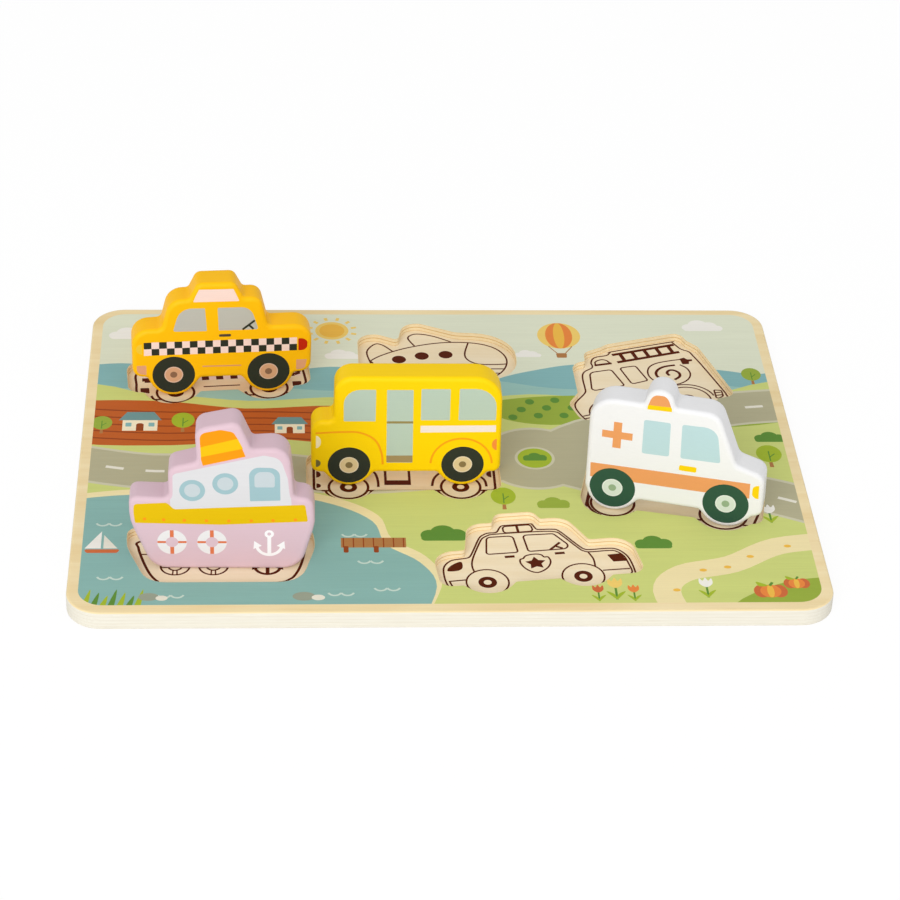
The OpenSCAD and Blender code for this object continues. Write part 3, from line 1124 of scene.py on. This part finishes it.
taxi_print.patch(bumper, [(-36.6, 15.9), (-35.4, 10.9), (-31.8, 10.9), (-31.8, 15.9)], 0.3)
taxi_print.patch(bumper, [(36.9, 16.2), (32.3, 16.2), (32.3, 10.7), (35.8, 10.9)], 0.3)
taxi_print.line(srgb(226, 160, 104), 0.7, [(-7.9, 14.5), (0.3, 14.4), (8.7, 14.3)])
for x in (-20.2, 20.4):
    printed_wheel(taxi_print, x, 10.8, 9.1, 4, checker_dark, taxi_hub, taxi_cap)
taxi_front = standing(taxi, aside=0.9, back=9.3, skew=-0.9)
painted_block("taxi", taxi_front, taxi_print, "orange_paint", srgb(255, 193, 12))


# Bus
# A block of solid wood like the taxi, painted yellow and printed on the front with windows,
# an open door, a white band and two wheels. It stands loose in the middle cut-out.

bus_glass = srgb(181, 198, 182)
bus_orange = srgb(244, 160, 20)
bus_hub = srgb(218, 196, 148)
bus_cap = srgb(134, 115, 74)
bus_print = Drawing()
bus_print.fill(bus_glass, *bus_windows)
bus_print.patch(bus_glass, [(-8.1, 11.7), (2.6, 11.7), (2.2, 47.1), (-8.5, 47.1)], 0.3)
bus_print.fill(srgb(150, 134, 84), box(-8.3, 30.9, 2.4, 32))
bus_print.fill(srgb(160, 138, 94), [(-8.1, 11.8), (2.6, 11.8), (2.55, 15.2), (-8.15, 15.2)])
bus_print.fill(srgb(238, 224, 215), [(5.5, 26.5), (36.3, 26.8), (36.2, 30), (5.5, 29.8)])
bus_print.line(bus_orange, 0.85, curve([
    (-37.2, 26.2), (-26, 26.8), (-19, 26.4), (-13, 22.9), (-10.3, 16.8), (-9.6, 10.8),
]))
bus_print.line(bus_orange, 0.85, arc(22.6, 10.9, 12.6, 2, 178, steps=30))
bus_print.fill(srgb(250, 235, 190), half_disc(-37, 21.9, 2, 3))
bus_print.fill(srgb(120, 110, 60), half_disc(-37, 11.4, 2, 1.8))
bus_print.fill(srgb(240, 140, 60), half_disc(37, 20.6, -2.1, 2.8))
for x, y in ((-23.4, 10.5), (23.2, 10.8)):
    printed_wheel(bus_print, x, y, 8.75, 3.95, checker_dark, bus_hub, bus_cap)
bus_front = standing(bus, aside=0.7, back=13.1, skew=0)
painted_block("bus", bus_front, bus_print, "yellow_paint", srgb(250, 208, 2))


# Ship
# A block of solid wood painted lilac. The print gives it a white cabin, a yellow band with
# rivets, portholes, a door, two lifebelts, an anchor and a striped funnel.

cabin_white = srgb(212, 211, 213)
port_blue = srgb(153, 184, 190)
port_glass = srgb(190, 200, 204)
band_yellow = srgb(221, 182, 0)
rivet_orange = srgb(240, 150, 20)
belt_white = srgb(228, 226, 227)
belt_orange = srgb(216, 116, 76)
funnel_orange = srgb(240, 147, 4)
ship_print = Drawing()
ship_print.patch(cabin_white, [
    (-21.4, 28), (25.9, 29), (25, 41), (21.4, 52.9), (15, 54.3), (-19.4, 45.6), (-21.2, 43),
], [0.5, 0.5, 5, 5, 3, 2.6, 1.5])
ship_print.patch(band_yellow, [
    (-36.1, 22.4), (-1.8, 21.6), (32.1, 23.2), (31, 31.2), (-19.9, 28.9), (-22.6, 32),
    (-35.4, 31.3),
], [0.8, 30, 0.6, 1, 2, 2, 1.4])
for x in (-31.4, -24, -16, -7.4, 1.3, 10, 18.5, 27.2):
    ship_print.fill(rivet_orange, disc(x, 24.3 - 0.9 * (1 - (x / 32) ** 2), 0.75, steps=16))
for x, y in ((-12.7, 37.8), (0.1, 41)):
    ship_print.fill(port_blue, disc(x, y, 5))
    ship_print.fill(port_glass, disc(x, y, 3.1))
ship_print.patch(port_blue, [
    (9.6, 32.8), (21.4, 33.2), (21.2, 48.4), (9.2, 48.8),
], [0.4, 0.4, 4, 4])
ship_print.patch(port_glass, [
    (11.4, 39.4), (19.2, 39.4), (19.2, 46.6), (11.3, 46.6),
], [0.8, 0.8, 2.8, 2.8])
for x, y in ((-21, 13.2), (-5.4, 13.2)):
    ship_print.fill(belt_white, disc(x, y, 5.8, steps=48))
    for side in (-1, 1):
        ship_print.line(belt_orange, 1.5, [(x, y + 1.9 * side), (x, y + 5.7 * side)])
        ship_print.line(belt_orange, 1, [(x + 1.9 * side, y), (x + 5.7 * side, y)])
    ship_print.fill(bare, disc(x, y, 2.4))
anchor(ship_print, srgb(242, 240, 242), 17, 6.6)
ship_print.patch(funnel_orange, [
    (-8.4, 49.4), (8.1, 53.7), (5.4, 61.4), (3.4, 65), (-1.6, 66.1), (-8.6, 64.4), (-10.9, 60),
], [0.3, 0.3, 4, 2.4, 5, 3, 3])
ship_print.fill(srgb(240, 186, 4), [(-9.7, 53.3), (7.1, 57.4), (5.1, 62), (-10.4, 57.6)])
ship_front = standing(ship, aside=1, back=11.6, skew=-0.6)
painted_block("ship", ship_front, ship_print, "lilac_paint", srgb(213, 185, 195))


# Ambulance
# A block of solid wood painted white, printed on the front with an orange cross and stripe,
# two windows, a beacon and dark green tyres. It stands loose in the right-hand cut-out.

rescue_orange = srgb(225, 153, 94)
signal_yellow = srgb(240, 201, 6)
tyre_green = srgb(46, 82, 62)
ambulance_hub = srgb(206, 216, 204)
ambulance_cap = srgb(144, 168, 134)
ambulance_print = Drawing()
ambulance_print.fill(
    rescue_orange,
    [(-33.4, 22.3), (31.7, 23), (31.9, 15.8), (-33.2, 15.4)],
    box(-29.6, 35.4, -17.2, 38.8),
    box(-25.1, 30.9, -21.7, 43.3),
)
ambulance_print.fill(srgb(180, 208, 212), *ambulance_windows)
ambulance_print.patch(signal_yellow, box(2.5, 24.5, 9.6, 27.1), 0.7)
ambulance_print.patch(signal_yellow, [(-12.2, 51.4), (-2.3, 51.7), (-2.5, 54), (-12.2, 53.6)], 0.2)
ambulance_print.patch(rescue_orange, [
    (-12.2, 53.5), (-2.5, 53.8), (-2.7, 58.7), (-12, 58.5),
], [0.1, 0.1, 4, 4])
ambulance_print.patch(signal_yellow, [
    (32.8, 16.2), (36.2, 16.2), (36.2, 22.6), (32.8, 22.4),
], [2.2, 0.3, 0.3, 2.2])
for x, y in ((-23.8, 11.4), (22.6, 11.6)):
    printed_wheel(ambulance_print, x, y, 9.4, 4.2, tyre_green, ambulance_hub, ambulance_cap)
ambulance_front = standing(ambulance, aside=0.5, back=6.7, skew=-2.5)
painted_block("ambulance", ambulance_front, ambulance_print, "white_paint", srgb(230, 230, 231))


# Studio
# A white table, soft light from above and in front, and the camera at the height and turn
# from which the puzzle was photographed.

bpy.ops.mesh.primitive_plane_add(size=8, location=(0, 0, 0))
table = bpy.context.object
table.name = "table"
table_glow, glow_share = 1.02, 0.88
table_finish = Finish("white_table")
speckle = table_finish.grain(60, 60)
soft_white = table_finish.blend(srgb(248, 248, 248), srgb(243, 243, 243), speckle)
paper = table_finish.node("ShaderNodeBsdfDiffuse", None, {"Color": soft_white})
glow = table_finish.node(
    "ShaderNodeEmission", None, {"Color": (1, 1, 1, 1), "Strength": table_glow}
)
seen = table_finish.node("ShaderNodeLightPath", output="Is Camera Ray")
lit = table_finish.node("ShaderNodeMixShader", None, {0: seen * glow_share, 1: paper, 2: glow})
table_finish.node("ShaderNodeOutputMaterial", None, {"Surface": lit})
table.data.materials.append(table_finish.material)

# The world lights the puzzle less than it shows to the camera, which sees it white
world_light, world_seen = 0.66, 1.0
world = bpy.data.worlds.new("studio")
bpy.context.scene.world = world
world.use_nodes = True
room = world.node_tree
room.nodes.clear()
choice = room.nodes.new("ShaderNodeMixShader")
view_rays = room.nodes.new("ShaderNodeLightPath")
room.links.new(view_rays.outputs["Is Camera Ray"], choice.inputs[0])
for slot, strength in ((1, world_light), (2, world_seen)):
    background = room.nodes.new("ShaderNodeBackground")
    background.inputs["Color"].default_value = (1, 1, 1, 1)
    background.inputs["Strength"].default_value = strength
    room.links.new(background.outputs[0], choice.inputs[slot])
sky_output = room.nodes.new("ShaderNodeOutputWorld")
room.links.new(choice.outputs[0], sky_output.inputs["Surface"])


def softbox(name, place, size, watts):
    """A square lamp that faces the middle of the board."""
    lamp = bpy.data.lights.new(name, "AREA")
    lamp.size = size
    lamp.energy = watts
    holder = bpy.data.objects.new(name, lamp)
    bpy.context.scene.collection.objects.link(holder)
    holder.location = place
    holder.rotation_euler = (-Vector(place)).to_track_quat("-Z", "Y").to_euler()


softbox("key_light", (-0.95, -2.7, 1.5), size=2.1, watts=60)
softbox("fill_light", (1.3, -0.9, 0.9), size=1.2, watts=2.5)

camera_place = Vector((-67.6, -988.55, 675.5)) * mm
camera_turn, camera_tilt, camera_roll = (math.radians(a) for a in (-4.14, 56.01, 2.23))
lens = bpy.data.cameras.new("camera")
lens.lens = 114.16
lens.sensor_width = 36
lens.clip_start = 0.05
camera = bpy.data.objects.new("camera", lens)
bpy.context.scene.collection.objects.link(camera)
camera.matrix_world = (
    Matrix.Translation(camera_place)
    @ Matrix.Rotation(camera_turn, 4, "Z")
    @ Matrix.Rotation(camera_tilt, 4, "X")
    @ Matrix.Rotation(camera_roll, 4, "Z")
)
bpy.context.scene.camera = camera
bpy.context.scene.view_settings.view_transform = "Standard"
